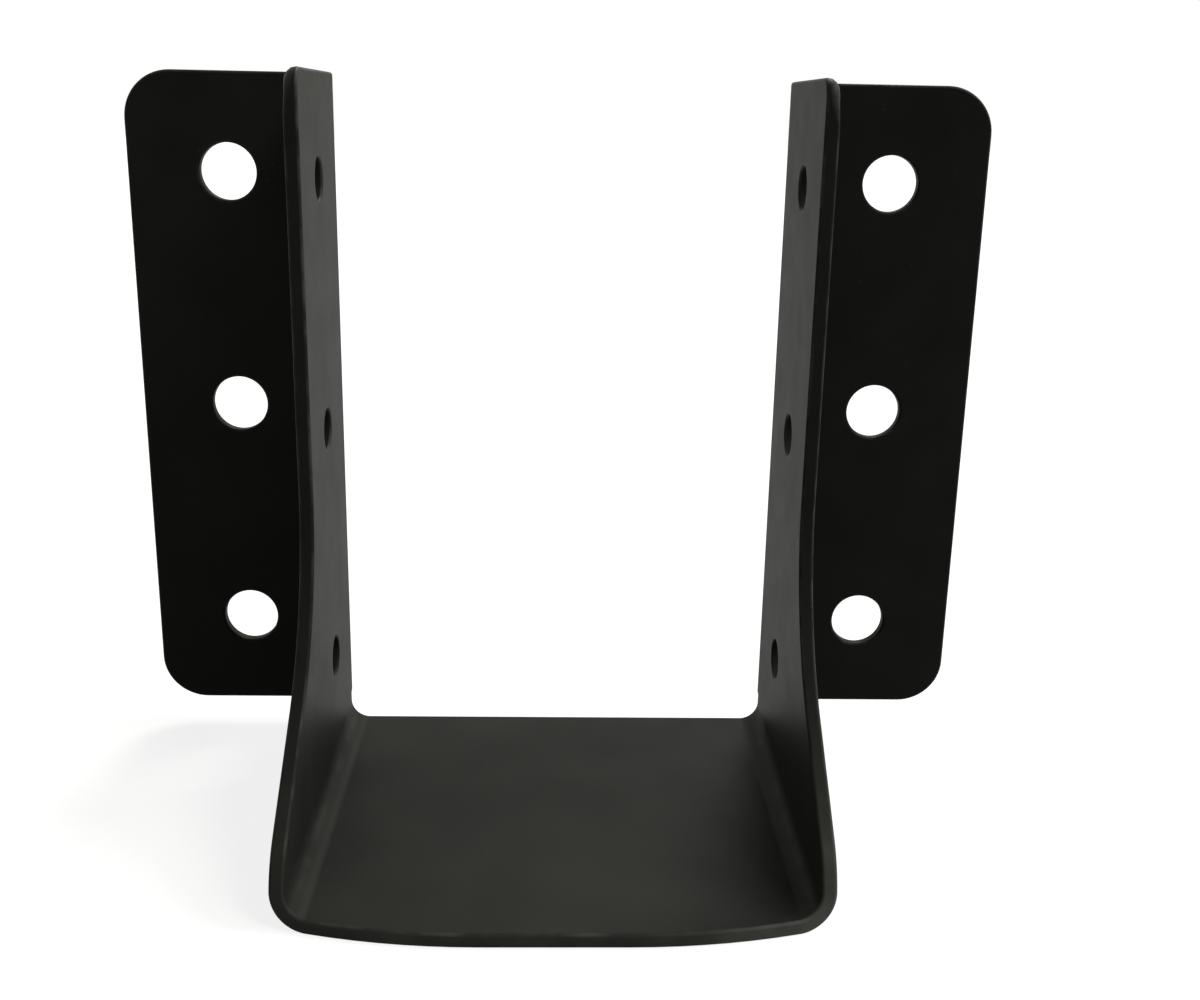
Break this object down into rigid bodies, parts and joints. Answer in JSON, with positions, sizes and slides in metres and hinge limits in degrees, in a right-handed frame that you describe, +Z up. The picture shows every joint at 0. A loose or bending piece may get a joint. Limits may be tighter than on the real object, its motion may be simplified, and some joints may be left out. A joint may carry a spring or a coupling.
{
  "type": "u bracket",
  "caption": "Folded steel joist hanger: an open U of seat and two walls, with a drilled flange turned out at the back of each wall.",
  "frame": {"origin": "middle of the bounding box across and in depth, at the underside of the seat that it stands on", "axes": "+X across the hanger, +Y towards the header that the flanges lie against, +Z up"},
  "size_m": [0.175, 0.091, 0.1397],
  "materials": {
    "powder_coat": "satin black powder coat with a faint orange peel"
  },
  "bodies": {
    "root": {"u_bracket": "powder_coat"}
  },
  "joints": []
}
